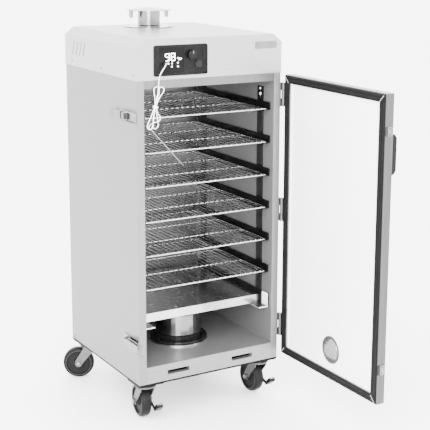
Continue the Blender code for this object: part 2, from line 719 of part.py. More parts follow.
def caster_fork(x, y, axle_end):
    """Swivel disc, two legs and the axle with its nuts, the right-hand nut at axle_end."""
    axle = (y + TRAIL, WHEEL_Z)
    disc = rod((x, y), 27, (-20, -14.3), "z", 20)
    crown = box((x - FORK_HALF, x + FORK_HALF), (y - 12, y + 14), (-22, -18))
    side = [
        (y - 13, -18),
        (y - 13, -30),
        (axle[0] - 10, WHEEL_Z - 2),
        (axle[0] - 6, WHEEL_Z - 9),
        (axle[0] + 4, WHEEL_Z - 10),
        (axle[0] + 10, WHEEL_Z - 2),
        (axle[0] + 8, WHEEL_Z + 9),
        (y + 20, -30),
        (y + 16, -18),
    ]
    legs = []
    for low in (x - FORK_HALF, x + FORK_HALF - LEG_THICK):
        legs.append(prism(side, (low, low + LEG_THICK), "x"))
    pin = rod(axle, AXLE_RADIUS, (x - 23, x + axle_end), "x", 24)
    left_nut = rod(axle, 7, (x - 24, x - 19), "x", 6)
    right_nut = rod(axle, 7, (x + axle_end - 4.5, x + axle_end), "x", 6)
    return join(disc, crown, *legs, pin, left_nut, right_nut)


def caster_wheel(x, y):
    half = WHEEL_WIDTH / 2
    hub, web = half + 2, half - 4
    bore = AXLE_RADIUS + BORE_PLAY
    profile = [
        (bore, -hub),
        (12, -hub),
        (13, -web),
        (33, -web),
        (35, -half),
        (WHEEL_RADIUS - 3, -half),
        (WHEEL_RADIUS, -half + 4),
    ]
    profile += [(radius, -level) for radius, level in reversed(profile)]
    placed = [(radius, x + level) for radius, level in profile]
    return lathe(placed, (y + TRAIL, WHEEL_Z), "x", 32)


def brake_pedal(x, y):
    """A ring on the axle outside the fork's right leg, an arm and a foot pad in front of it."""
    axle = (y + TRAIL, WHEEL_Z)
    inner, outer = x + PEDAL_HALF, x + PEDAL_HALF + 3.2
    ring = rod(axle, 8.5, (inner, outer), "x", 24)
    arm = prism([(axle[0], -64), (axle[0], -77), (y - 12, -90), (y - 16, -84)], (inner, outer), "x")
    pad_outline = [(y - 9, -92), (y - 13, -90), (y - 32, -75), (y - 31, -68), (y - 25, -66), (y - 9, -81)]
    pad = prism(pad_outline, (inner, x + 37), "x")
    bore = rod(axle, AXLE_RADIUS + BORE_PLAY, (inner - 5, outer + 5), "x", 24)
    return cut(join(ring, arm, pad), bore)


def casters(root):
    for place, turn in CASTER_TURNS.items():
        braked = place.startswith("front")
        x = KINGPIN_X if place.endswith("right") else -KINGPIN_X
        y = -KINGPIN_Y if braked else KINGPIN_Y
        swivel = joint(f"swivel_{place}", (x, y, -14), root, turn)
        fork = caster_fork(x, y, 28 if braked else 24)
        finish(f"fork_{place}", fork, PALE_ZINC, swivel)
        axle = (x, y + TRAIL, WHEEL_Z)
        spin = joint(f"spin_{place}", axle, swivel)
        finish(f"wheel_{place}", caster_wheel(x, y), BLACK_RUBBER, spin, smooth=True)
        if braked:
            pivot = joint(f"pedal_axis_{place}", axle, swivel)
            finish(f"brake_pedal_{place}", brake_pedal(x, y), BLACK_PLASTIC, pivot)


# ---- latches ------------------------------------------------------------------------


def latch_base(z):
    """Screw plate with two ears and the pin that the lever turns on."""
    wall = -HALF_WIDTH - GAP
    x, y = LATCH_PIVOT
    plate_z = (z - LATCH_HALF_HEIGHT, z + LATCH_HALF_HEIGHT)
    plate = prism(rounded((FRONT + 2, y + 28), plate_z, 3), (wall - 2, wall), "x")
    outline = [(wall - 1, y - 7), (wall - 1, y + 7), (x, y + 4), (x - 3, y + 2.6), (x - 4, y)]
    outline += [(x - 3, y - 2.6), (x, y - 4)]
    ears = [prism(outline, (low, low + 2), "z") for low in (z - 10, z + 8)]
    pin = rod(LATCH_PIVOT, LATCH_PIN_RADIUS, (z - 10.5, z + 10.5), "z", 16)
    return join(plate, *ears, pin)


def latch_lever(z):
    """A flat lever with the barrel that it turns on and the tube that carries the loop."""
    x, y = LATCH_PIVOT
    plate = prism(rounded((y - LEVER_LONG, y - 9), (z - 11, z + 11), 3), (x - 7, x - 4.5), "x")
    barrel = rod(LATCH_PIVOT, 4, (z - 7.7, z + 7.7), "z", 24)
    web = box((x - 7, x - 2), (y - 12, y + 1.5), (z - 7.7, z + 7.7))
    tube = rod(LOOP_PIVOT, 3.5, (z - 9.5, z + 9.5), "z", 24)
    pin_bore = rod(LATCH_PIVOT, LATCH_PIN_RADIUS + BORE_PLAY, (z - 20, z + 20), "z", 16)
    loop_bore = rod(LOOP_PIVOT, LOOP_WIRE + 0.2, (z - 20, z + 20), "z", 16)
    return cut(join(plate, barrel, web, tube), pin_bore, loop_bore)


def latch_loop(z):
    """A rounded rectangle of wire through the lever's tube, its free bar in front."""
    x, back = LOOP_PIVOT
    outline = rounded((LOOP_BAR_Y, back), (z - LATCH_HALF_HEIGHT, z + LATCH_HALF_HEIGHT), 4)
    return wire([(x, y, height) for y, height in outline], LOOP_WIRE, closed=True)


def latches(root):
    for place, z in LATCH_HEIGHTS.items():
        thrown = -LEVER_THROW if place == "upper" else 0.0
        finish(f"latch_base_{place}", latch_base(z), BRIGHT_STEEL, root)
        lever = joint(f"latch_lever_axis_{place}", (*LATCH_PIVOT, z), root, thrown)
        finish(f"latch_lever_{place}", latch_lever(z), BRIGHT_STEEL, lever)
        loop = joint(f"latch_loop_axis_{place}", (*LOOP_PIVOT, z), lever, thrown * LOOP_FOLLOWS)
        finish(f"latch_loop_{place}", latch_loop(z), BRIGHT_STEEL, loop)


# ---- meat probe ---------------------------------------------------------------------


def probe_needle():
    """A thin rod with a thicker ferrule at the lead's end and a ground point."""
    top, tip = Vector(NEEDLE_TOP), Vector(NEEDLE_TIP)
    long = (tip - top).length
    thick = FERRULE_RADIUS / NEEDLE_RADIUS
    stations = [(0, 0.9 * thick), (1, thick), (11, thick), (12.5, 1), (long - 10, 1), (long, 0.15)]
    points = [top.lerp(tip, station / long) for station, _ in stations]
    return wire(points, NEEDLE_RADIUS, widths=[width for _, width in stations])


def probe(root):
    """A plug in the panel, its lead down the front, the rest of the lead tied in a hank, and the needle."""
    plug_front = PANEL_FRONT - 5
    plug_back = PANEL_FRONT - GAP
    profile = [(0, plug_front), (3, plug_front), (4.5, plug_front + 1.5), (4.5, plug_back), (0, plug_back)]
    jack = lathe(profile, (JACK_X, JACK_Z), "y", 20)
    finish("probe_jack", jack, BLACK_PLASTIC, root, smooth=True)

    route = [
        (JACK_X, plug_front - GAP, JACK_Z),
        (JACK_X, plug_front - 4, JACK_Z),
        (-140, plug_front - 7.5, 832),
        (-148, plug_front - 6, 820),
        (-153, plug_front - 2, 806),
        (-155, PROBE_Y, 792),
        (-155, PROBE_Y, 785),
    ]
    lead = wire(smooth_route(route, 4), LEAD_RADIUS)
    finish("probe_lead", lead, BRIGHT_STEEL, root)

    outline = [
        (-160, 782.5),
        (-150, 784),
        (-141, 779),
        (-138.5, 766),
        (-146, 737),
        (-147, 704),
        (-161, 678),
        (-175, 674.5),
        (-187, 677),
        (-189.5, 686),
        (-176, 718),
        (-168, 745),
        (-165, 772),
    ]
    rounded_outline = smooth_route([(x, z, 0) for x, z in outline], 3, closed=True)
    hank = prism([(x, z) for x, z, _ in rounded_outline], (PROBE_Y - 4, PROBE_Y + 4), "y")
    finish("probe_hank", hank, BRIGHT_STEEL, root)

    finish("probe_needle", probe_needle(), BRIGHT_STEEL, root)


def main():
    for obj in list(bpy.data.objects):
        bpy.data.objects.remove(obj)
    root = joint("cabinet", (0, 0, 0))
    root.location = Vector(ORIGIN_SHIFT) * MM

    cabinet_walls(root)
    base_frame(root)
    hood_shell(root)
    power_inlet(root)
    control_panel(root)
    display_window(root)
    control_knob(root)
    power_button(root)
    control_board(root)
    badge_plate(root)
    chimney(root)

    door = joint("door_hinge", (HINGE_X, HINGE_Y, 0), root, DOOR_OPEN)
    door_body(door)
    door_air_tube(door)
    door_handle(door)
    keepers(door)
    hinges(root, door)

    racks(root)
    ladder("left_ladder", -1, root)
    ladder("right_ladder", 1, root)
    drip_tray(root)
    hot_plate(root)
    chip_pan(root)
    casters(root)
    latches(root)
    probe(root)


main()
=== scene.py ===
import json
import math

import bmesh
import bpy
from mathutils import Matrix, Vector


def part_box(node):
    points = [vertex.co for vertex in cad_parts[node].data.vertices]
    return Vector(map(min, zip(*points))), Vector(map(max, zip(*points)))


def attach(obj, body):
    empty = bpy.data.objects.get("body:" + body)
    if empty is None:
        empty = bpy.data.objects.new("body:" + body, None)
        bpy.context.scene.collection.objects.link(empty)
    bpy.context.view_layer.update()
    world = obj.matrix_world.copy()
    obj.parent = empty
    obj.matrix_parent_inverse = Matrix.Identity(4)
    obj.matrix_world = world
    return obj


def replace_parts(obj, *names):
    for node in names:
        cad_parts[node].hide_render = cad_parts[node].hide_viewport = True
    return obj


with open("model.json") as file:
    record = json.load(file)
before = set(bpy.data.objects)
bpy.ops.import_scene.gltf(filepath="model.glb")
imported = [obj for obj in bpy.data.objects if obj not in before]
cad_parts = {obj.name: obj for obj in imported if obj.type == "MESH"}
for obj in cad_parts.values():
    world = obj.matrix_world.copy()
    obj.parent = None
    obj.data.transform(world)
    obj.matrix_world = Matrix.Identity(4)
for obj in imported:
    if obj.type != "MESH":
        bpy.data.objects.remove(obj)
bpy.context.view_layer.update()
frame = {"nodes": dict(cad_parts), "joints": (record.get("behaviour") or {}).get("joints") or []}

# ---- places taken from the frame ----------------------------------------------------
# The cabinet frame is that of the CAD: millimetres, x to the right, y inwards and z up
# from the middle of the body's underside.

MM = 0.001
left_low, left_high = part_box("left_wall")
right_low, right_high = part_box("right_wall")
BODY_CENTRE = Vector(((left_low.x + right_high.x) / 2, (left_low.y + left_high.y) / 2, left_low.z))
HALF_WIDTH = (right_high.x - left_low.x) / 2 / MM
FRONT = (left_low.y - BODY_CENTRE.y) / MM
BACK = -FRONT
INSIDE_HALF = (right_low.x - BODY_CENTRE.x) / MM
HOOD_FRONT = FRONT - 1
PANEL_FRONT = FRONT - 2.5
PANEL_X, PANEL_Z = (-165, -12), (806, 883)
KNOB_X, KNOB_Z = -60, 857
BUTTON_X, BUTTON_Z = -39, 833
JACK_X, JACK_Z = -135, 838
CHIMNEY_X, CHIMNEY_Y, FLANGE_TOP = 0, 130, 902.3
HINGE = Vector((220, FRONT - 3, 0))
HINGE_HEIGHTS = (738, 423, 96)
DOOR_OUTER, DOOR_INNER = FRONT - 29, FRONT - 5
DOOR_TOP = 792
RACK_COUNT = 6
JOINTS = {joint["name"]: joint for joint in frame["joints"]}

# ---- camera -------------------------------------------------------------------------

CAMERA_PLACE = (-1463.0, -2774.0, 1157.0)
CAMERA_YAW, CAMERA_PITCH, CAMERA_ROLL = 32.19, 11.87, 0.6  # degrees to the right, down, clockwise
CAMERA_LENS = 96.6
CAMERA_SHIFT = (-0.100, -0.0907)


def at(x, y, z):
    """A place in the cabinet frame, in metres in the row frame."""
    return BODY_CENTRE + Vector((x, y, z)) * MM


def make_camera():
    """The camera where the photograph was taken from, with a shift for its framing."""
    data = bpy.data.cameras.new("camera")
    data.lens = CAMERA_LENS
    data.shift_x, data.shift_y = CAMERA_SHIFT
    data.clip_end = 50
    camera = bpy.data.objects.new("camera", data)
    bpy.context.scene.collection.objects.link(camera)
    turn = Matrix.Rotation(math.radians(-CAMERA_YAW), 4, "Z")
    tilt = Matrix.Rotation(math.radians(90 - CAMERA_PITCH), 4, "X")
    roll = Matrix.Rotation(math.radians(CAMERA_ROLL), 4, "Z")
    camera.matrix_world = Matrix.Translation(at(*CAMERA_PLACE)) @ turn @ tilt @ roll
    bpy.context.scene.camera = camera


# ---- materials ----------------------------------------------------------------------


def new_material(name, colour, roughness, metallic=0.0, **sockets):
    """A Principled material; sockets are more of the shader's inputs, with _ for each space."""
    material = bpy.data.materials.new(name)
    material.use_nodes = True
    shader = material.node_tree.nodes["Principled BSDF"]
    shader.inputs["Base Color"].default_value = (*colour, 1)
    shader.inputs["Roughness"].default_value = roughness
    shader.inputs["Metallic"].default_value = metallic
    for socket, value in sockets.items():
        shader.inputs[socket.replace("_", " ")].default_value = value
    return material


def noise(material, stretch, detail=2.0):
    """A noise over the object's own coordinates, with a different scale along each axis."""
    tree = material.node_tree
    place = tree.nodes.new("ShaderNodeTexCoord")
    mapping = tree.nodes.new("ShaderNodeMapping")
    mapping.inputs["Scale"].default_value = stretch
    texture = tree.nodes.new("ShaderNodeTexNoise")
    texture.inputs["Scale"].default_value = 1.0
    texture.inputs["Detail"].default_value = detail
    tree.links.new(place.outputs["Object"], mapping.inputs["Vector"])
    tree.links.new(mapping.outputs["Vector"], texture.inputs["Vector"])
    return texture.outputs["Fac"]


def vary(material, source, socket, low, high):
    """Drives a number of the shader from low to high with a noise."""
    tree = material.node_tree
    spread = tree.nodes.new("ShaderNodeMapRange")
    spread.inputs["From Min"].default_value = 0.3
    spread.inputs["From Max"].default_value = 0.7
    spread.inputs["To Min"].default_value = low
    spread.inputs["To Max"].default_value = high
    tree.links.new(source, spread.inputs["Value"])
    tree.links.new(spread.outputs["Result"], tree.nodes["Principled BSDF"].inputs[socket])


def tint(material, source, dark, light):
    """Colours the shader between two greys with a noise."""
    tree = material.node_tree
    ramp = tree.nodes.new("ShaderNodeValToRGB")
    ramp.color_ramp.elements[0].position = 0.3
    ramp.color_ramp.elements[1].position = 0.7
    ramp.color_ramp.elements[0].color = (*dark, 1)
    ramp.color_ramp.elements[1].color = (*light, 1)
    tree.links.new(source, ramp.inputs["Fac"])
    tree.links.new(ramp.outputs["Color"], tree.nodes["Principled BSDF"].inputs["Base Color"])


def emboss(material, source, strength, distance):
    """Bumps the surface with a noise; distance is in metres."""
    tree = material.node_tree
    bump = tree.nodes.new("ShaderNodeBump")
    bump.inputs["Strength"].default_value = strength
    bump.inputs["Distance"].default_value = distance
    tree.links.new(source, bump.inputs["Height"])
    tree.links.new(bump.outputs["Normal"], tree.nodes["Principled BSDF"].inputs["Normal"])


def grey(value):
    return (value, value, value)


def brushed(name, tone, roughness, grain, metallic=1.0, contrast=0.04):
    """Sheet steel with fine grain. grain is the noise's scale along x, y and z."""
    material = new_material(name, grey(tone), roughness, metallic)
    fine = noise(material, grain, 3.0)
    vary(material, fine, "Roughness", roughness - 0.05, roughness + 0.05)
    tint(material, fine, grey(tone - contrast), grey(tone + contrast))
    emboss(material, fine, 0.05, 0.0002)
    return material


def polished(name, tone, roughness):
    """Drawn or polished steel with faint smears."""
    material = new_material(name, grey(tone), roughness, 1.0)
    smear = noise(material, (60, 60, 25), 4.0)
    vary(material, smear, "Roughness", roughness * 0.7, roughness * 1.4)
    tint(material, smear, grey(tone - 0.03), grey(tone + 0.03))
    return material


def moulded(name, tone, roughness, grain=900.0, strength=0.15, coat=0.0, shine=0.06):
    """Moulded plastic or rubber with a fine pebbled skin."""
    material = new_material(name, grey(tone), roughness, 0.0, Coat_Weight=coat, Specular_IOR_Level=shine)
    skin = noise(material, (grain, grain, grain), 2.0)
    cloud = noise(material, (30, 30, 30), 3.0)
    emboss(material, skin, strength, 0.0001)
    vary(material, cloud, "Roughness", roughness - 0.06, roughness + 0.06)
    tint(material, cloud, grey(tone * 0.8), grey(tone * 1.25))
    return material


def glowing(name, level):
    """A lit part of the display."""
    material = new_material(name, grey(0.9), 0.5)
    shader = material.node_tree.nodes["Principled BSDF"]
    shader.inputs["Emission Color"].default_value = (1, 1, 1, 1)
    vary(material, noise(material, (400, 400, 400)), "Emission Strength", level * 0.9, level)
    return material


def braided(name):
    """Steel braid over a thin lead."""
    material = new_material(name, grey(0.85), 0.35, 0.6)
    weave = noise(material, (1800, 1800, 900), 1.0)
    tint(material, weave, grey(0.7), grey(0.98))
    emboss(material, weave, 0.5, 0.0003)
    return material


def make_materials():
    """All materials by the name that the parts ask for. Tones suit this scene's own strong light."""
    return {
        "side": brushed("side_steel", 0.15, 0.40, (700, 700, 9), 0.6, 0.012),
        "hood": brushed("hood_steel", 0.30, 0.34, (12, 700, 700), 0.6, 0.02),
        "inside": brushed("inside_steel", 0.13, 0.36, (500, 500, 7), contrast=0.02),
        "floor": brushed("floor_steel", 0.18, 0.40, (9, 700, 700), 0.7, 0.02),
        "door": brushed("door_steel", 0.07, 0.32, (700, 700, 9), 0.8, 0.012),
        "liner": brushed("liner_steel", 0.90, 0.45, (500, 500, 30), 0.15, 0.01),
        "polished": polished("polished_steel", 0.17, 0.14),
        "wire": polished("wire_steel", 0.50, 0.20),
        # Near-white ladder steel for the tray channels and studs: a painted highlight on their lit faces.
        "bright": brushed("highlight_channel_steel", 0.85, 0.45, (60, 60, 400), 0.2, 0.02),
        "zinc": brushed("zinc_plate", 0.09, 0.40, (200, 200, 200), contrast=0.01),
        # Near-black ladder steel: painted shade of the cabinet's dark inside.
        "dark": brushed("shaded_rail_steel", 0.022, 0.45, (60, 60, 400), contrast=0.006),
        # Post facings, lighter than the near-black ladder: painted light on the posts' lit faces.
        "post": brushed("lit_post_steel", 0.07, 0.42, (300, 300, 20), contrast=0.01),
        "black_paint": moulded("black_paint", 0.004, 0.50, 500),
        "enamel": moulded("black_enamel", 0.005, 0.25, 300, 0.05, 0.1),
        "panel": moulded("panel_plastic", 0.004, 0.28, 1200, 0.05, 0.05),
        "window": moulded("smoked_window", 0.002, 0.10, 200, 0.01, 0.05),
        "knob": moulded("knob_plastic", 0.002, 0.32, 700, shine=0.12),
        "button": moulded("button_plastic", 0.010, 0.45, 900),
        "black_plastic": moulded("black_plastic", 0.003, 0.38, 700, shine=0.12),
        "grey_plastic": moulded("grey_plastic", 0.10, 0.50, 700),
        "mitre": moulded("seal_mitre", 0.35, 0.50, 700),
        "pad": moulded("pad_plastic", 0.18, 0.50, 700),
        "seal": moulded("seal_rubber", 0.004, 0.50, 400),
        "tyre": moulded("tyre_rubber", 0.004, 0.48, 500, shine=0.08),
        "wall_ring": moulded("wall_ring_rubber", 0.030, 0.45, 500),
        "hub": moulded("hub_plastic", 0.006, 0.42, 500),
        "circuit": moulded("circuit_board", 0.02, 0.50),
        "lit": glowing("lit_segment", 14.0),
        "dim": glowing("dim_icon", 1.5),
        "ghost": moulded("unlit_segment", 0.008, 0.40),
        "braid": braided("braided_lead"),
    }


def dress(nodes, material, bevel=0.0):
    """Gives CAD nodes a material and, where asked, softly rounded edges."""
    for name in nodes:
        node = frame["nodes"][name]
        node.data.materials.clear()
        node.data.materials.append(material)
        if bevel:
            edge = node.modifiers.new("soft_edges", "BEVEL")
            edge.width = bevel * MM
            edge.segments = 2
            edge.limit_method = "ANGLE"
            edge.angle_limit = math.radians(40)
            edge.harden_normals = False


# ---- shapes -------------------------------------------------------------------------


def piece(name, bm, material, body, smooth=True, move=None):
    """A piece from a bmesh drawn in the cabinet frame, riding on a body.

    move, if given, turns it in that frame to where it stands at rest."""
    mesh = bpy.data.meshes.new(name)
    bmesh.ops.recalc_face_normals(bm, faces=bm.faces)
    bm.to_mesh(mesh)
    bm.free()
    if move:
        mesh.transform(move)
    mesh.transform(Matrix.Translation(BODY_CENTRE) @ Matrix.Scale(MM, 4))
    mesh.materials.append(material)
    if smooth:
        mesh.shade_smooth()
        mesh.set_sharp_from_angle(angle=math.radians(35))
    made = bpy.data.objects.new(name, mesh)
    bpy.context.scene.collection.objects.link(made)
    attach(made, body)
    return made


def add_box(bm, low, high, bevel=0.0):
    """A block between two corners, its edges rounded where a bevel is given."""
    made = bmesh.ops.create_cube(bm, size=1.0)["verts"]
    middle = (Vector(low) + Vector(high)) / 2
    size = Vector(high) - Vector(low)
    for vert in made:
        vert.co = Vector(a * b for a, b in zip(vert.co, size)) + middle
    if bevel:
        edges = {edge for vert in made for edge in vert.link_edges}
        bmesh.ops.bevel(bm, geom=list(edges), offset=bevel, segments=2, affect="EDGES")


def add_turned(bm, profile, centre, axis, sides=48):
    """A profile of (radius, level) pairs turned about an axis through centre; the ends may lie on it."""
    axis = Vector(axis).normalized()
    across = axis.orthogonal().normalized()
    other = axis.cross(across)
    rings = []
    for radius, level in profile:
        middle = Vector(centre) + axis * level
        if radius == 0:
            rings.append([bm.verts.new(middle)] * sides)
            continue
        turns = [2 * math.pi * i / sides for i in range(sides)]
        ring = [middle + (across * math.cos(t) + other * math.sin(t)) * radius for t in turns]
        rings.append([bm.verts.new(point) for point in ring])
    for a, b in zip(rings, rings[1:]):
        for i in range(sides):
            corners = list(dict.fromkeys((a[i - 1], a[i], b[i], b[i - 1])))
            if len(corners) > 2:
                bm.faces.new(corners)


def rounded(x, y, radius, steps=6):
    """A rectangle with round corners between two values of x and of y."""
    outline = []
    for quarter, (a, b) in enumerate(((1, 1), (0, 1), (0, 0), (1, 0))):
        middle_x = x[a] + (-radius if a else radius)
        middle_y = y[b] + (-radius if b else radius)
        for i in range(steps + 1):
            turn = math.pi / 2 * (quarter + i / steps)
            outline.append((middle_x + radius * math.cos(turn), middle_y + radius * math.sin(turn)))
    return outline


def wires(name, routes, radius, material, body, closed=False, move=None):
    """Round wires along routes in the cabinet frame, as one curve object."""
    curve = bpy.data.curves.new(name, "CURVE")
    curve.dimensions = "3D"
    curve.bevel_depth = radius * MM
    curve.bevel_resolution = 3
    curve.use_fill_caps = True
    for route in routes:
        spline = curve.splines.new("POLY")
        spline.points.add(len(route) - 1)
        for target, point in zip(spline.points, route):
            place = move @ Vector(point) if move else Vector(point)
            target.co = (*at(*place), 1)
        spline.use_cyclic_u = closed
        spline.use_smooth = True
    curve.materials.append(material)
    made = bpy.data.objects.new(name, curve)
    bpy.context.scene.collection.objects.link(made)
    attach(made, body)
    return made


def smooth_route(points, steps):
    """A Catmull-Rom curve read at even steps between given points."""
    vectors = [Vector(p) for p in points]
    vectors = [2 * vectors[0] - vectors[1], *vectors, 2 * vectors[-1] - vectors[-2]]
    route = []
    for i in range(len(vectors) - 3):
        p0, p1, p2, p3 = vectors[i : i + 4]
        for k in range(steps):
            t = k / steps
            bend = (2 * p0 - 5 * p1 + 4 * p2 - p3) * t**2 + (3 * p1 - p0 - 3 * p2 + p3) * t**3
            route.append((2 * p1 + (p2 - p0) * t + bend) / 2)
    route.append(vectors[-2])
    return route


def turned_about(centre, degrees):
    """The turn about a vertical axis through centre, in the cabinet frame."""
    there = Matrix.Translation(Vector((centre[0], centre[1], 0)))
    return there @ Matrix.Rotation(math.radians(degrees), 4, "Z") @ there.inverted()


DOOR_OPEN = turned_about(HINGE, 90)


def add_screw(bm, centre, normal, radius=3.2):
    """A pan head with a round recess."""
    high = radius * 0.45
    profile = [
        (radius, 0),
        (radius, high * 0.3),
        (radius * 0.75, high),
        (radius * 0.42, high * 1.05),
        (radius * 0.34, high * 0.4),
        (0, high * 0.4),
    ]
    add_turned(bm, profile, centre, normal, 16)


# ---- meat probe ---------------------------------------------------------------------

PROBE_Y = -227.0
ROW = 2.7  # between the layers of the hank
LEAD_RADIUS = 1.25
LEAD_DROP = [
    (JACK_X, PANEL_FRONT - 5.3, JACK_Z),
    (JACK_X, PANEL_FRONT - 9, JACK_Z),
    (-140, PANEL_FRONT - 12.5, 832),
    (-148, PANEL_FRONT - 11, 820),
    (-153, PANEL_FRONT - 7, 806),
    (-155, PROBE_Y - 2, 792),
]
FRONT_LAYER = [
    (-157, 770),
    (-162.5, 748),
    (-167.8, 731),
    (-176, 711),
    (-186.5, 690),
    (-187.5, 682),
    (-182.5, 676.5),
    (-176, 678),
    (-173, 686),
    (-170, 708),
    (-164.6, 731),
    (-156, 750),
    (-145, 765),
    (-140.5, 773),
]
MIDDLE_LAYER = [
    (-143.5, 779.8),
    (-150.5, 780),
    (-154, 772),
    (-157, 752),
    (-161.2, 731),
    (-159.5, 708),
    (-156.5, 688),
    (-158.5, 680),
    (-165, 676.5),
    (-170.5, 680),
    (-170.5, 690),
    (-167.5, 710),
    (-165, 731),
    (-165, 752),
    (-167, 768),
]
BACK_LAYER = [
    (-165.5, 777),
    (-159.5, 781.5),
    (-153, 778),
    (-151.5, 769),
    (-155.5, 750),
    (-161, 731),
    (-156, 716),
    (-150, 706),
    (-149.5, 698.5),
    (-155, 693.5),
    (-164, 692),
    (-173, 689.5),
    (-179.5, 684),
    (-180, 677.5),
    (-175.6, 673.7),
]


def probe(paint):
    """The lead from its plug down the front, through the tied hank and into the needle."""
    layers = ((FRONT_LAYER, -ROW), (MIDDLE_LAYER, 0), (BACK_LAYER, ROW))
    points = list(LEAD_DROP)
    for layer, depth in layers:
        points += [(x, PROBE_Y + depth, z) for x, z in layer]
    route = smooth_route(points, 6)
    lead = wires("lead", [route], LEAD_RADIUS, paint["braid"], "cabinet")
    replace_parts(lead, "probe_lead", "probe_hank")

    bm = bmesh.new()
    tie_profile = [(6.2, -3.5), (7.0, -2.8), (7.2, 0), (7.0, 2.8), (6.2, 3.5)]
    add_turned(bm, tie_profile, (-164, PROBE_Y, 731), (0.25, 0, 1), 24)
    tie = piece("hank_tie", bm, paint["braid"], "cabinet")

    dress(["probe_needle"], paint["polished"])


# ---- hood and panel -----------------------------------------------------------------

SEGMENTS = {
    "top": ((0.16, 0.92), (0.84, 1.0)),
    "middle": ((0.16, 0.46), (0.84, 0.54)),
    "bottom": ((0.16, 0.0), (0.84, 0.08)),
    "upper_left": ((0.0, 0.54), (0.12, 0.96)),
    "upper_right": ((0.88, 0.54), (1.0, 0.96)),
    "lower_left": ((0.0, 0.04), (0.12, 0.46)),
    "lower_right": ((0.88, 0.04), (1.0, 0.46)),
}
NINE = [name for name in SEGMENTS if name != "lower_left"]
EIGHT = list(SEGMENTS)
DIGIT_LOW, DIGIT_SIZE = 843.5, (12.0, 19.0)
DISPLAY_Y = PANEL_FRONT + 0.35
ICON_DOTS = ((-124, 837), (-114, 837), (-114, 829), (-97, 838), (-97, 829), (-88, 848), (-131, 836))
RIM_WIDE = 2
SCREW_INSET = 8
KNOB_RADIUS, KNOB_RIBS = 12.0, 24
OUTWARDS = (0, -1, 0)  # towards the front of the cabinet


def add_digit(bm, left, names):
    """Lit bars of a seven-segment digit, drawn on the front of the window."""
    for name in names:
        (x0, z0), (x1, z1) = SEGMENTS[name]
        wide, tall = DIGIT_SIZE
        low = (left + x0 * wide, DISPLAY_Y - 0.25, DIGIT_LOW + z0 * tall)
        high = (left + x1 * wide, DISPLAY_Y, DIGIT_LOW + z1 * tall)
        add_box(bm, low, high, 0.1)


def display(paint):
    """Two lit digits, one unlit and the small icons round them."""
    bm = bmesh.new()
    add_digit(bm, -133, NINE)
    add_digit(bm, -117, EIGHT)
    piece("lit_digits", bm, paint["lit"], "cabinet")
    bm = bmesh.new()
    add_digit(bm, -149, EIGHT)
    piece("unlit_digit", bm, paint["ghost"], "cabinet")

    bm = bmesh.new()
    for x, z in ICON_DOTS:
        add_turned(bm, [(2.2, 0), (2.0, 0.3), (0, 0.3)], (x, DISPLAY_Y, z), OUTWARDS, 12)
    add_box(bm, (-99, DISPLAY_Y - 0.25, 849), (-91, DISPLAY_Y, 851), 0.1)
    add_box(bm, (-96, DISPLAY_Y - 0.25, 845), (-89, DISPLAY_Y, 847), 0.1)
    piece("display_icons", bm, paint["dim"], "cabinet")


def panel_trim(paint):
    """A raised rim round the panel, its corner screws and a ring round the knob and the button."""
    (left, right), (low, high) = PANEL_X, PANEL_Z
    bm = bmesh.new()
    outer = rounded(PANEL_X, PANEL_Z, 5)
    inner = rounded((left + RIM_WIDE, right - RIM_WIDE), (low + RIM_WIDE, high - RIM_WIDE), 4)
    add_frame(bm, outer, inner, PANEL_FRONT, PANEL_FRONT - 0.8)
    piece("panel_rim", bm, paint["panel"], "cabinet")

    bm = bmesh.new()
    for x in (left + SCREW_INSET, right - SCREW_INSET):
        for z in (low + SCREW_INSET, high - SCREW_INSET):
            add_screw(bm, (x, PANEL_FRONT, z), OUTWARDS, 2.6)
    piece("panel_screws", bm, paint["black_plastic"], "cabinet")

    bm = bmesh.new()
    knob_ring = [(13.2, 0), (14.2, 0.2), (14.2, 1.2), (13.0, 1.4)]
    button_ring = [(10.2, 0), (11.6, 0.2), (11.6, 1.6), (10.2, 1.8)]
    add_turned(bm, knob_ring, (KNOB_X, PANEL_FRONT + 1, KNOB_Z), OUTWARDS)
    add_turned(bm, button_ring, (BUTTON_X, PANEL_FRONT + 1, BUTTON_Z), OUTWARDS)
    piece("knob_and_button_rings", bm, paint["black_plastic"], "cabinet")


def add_frame(bm, outer, inner, back, front):
    """A flat ring between two outlines of as many points, raised from back to front."""
    rings = []
    for outline, y in ((outer, back), (outer, front), (inner, front), (inner, back)):
        rings.append([bm.verts.new((x, y, z)) for x, z in outline])
    for a, b in zip(rings, rings[1:] + rings[:1]):
        for i in range(len(a)):
            bm.faces.new((a[i - 1], a[i], b[i], b[i - 1]))


def knob(paint):
    """Grip ribs round the knob and a pale pointer on its face."""
    bm = bmesh.new()
    for i in range(KNOB_RIBS):
        turn = 2 * math.pi * i / KNOB_RIBS
        x, z = KNOB_X + KNOB_RADIUS * math.cos(turn), KNOB_Z + KNOB_RADIUS * math.sin(turn)
        add_turned(bm, [(0, 0), (0.7, 0.2), (0.7, 10), (0, 10.4)], (x, PANEL_FRONT - 1.5, z), OUTWARDS, 8)
    piece("knob_ribs", bm, paint["knob"], "control_knob")
    bm = bmesh.new()
    low = (KNOB_X - 1, PANEL_FRONT - 13.9, KNOB_Z + 3)
    high = (KNOB_X + 1, PANEL_FRONT - 13.4, KNOB_Z + 10)
    add_box(bm, low, high, 0.2)
    piece("knob_pointer", bm, paint["grey_plastic"], "control_knob")


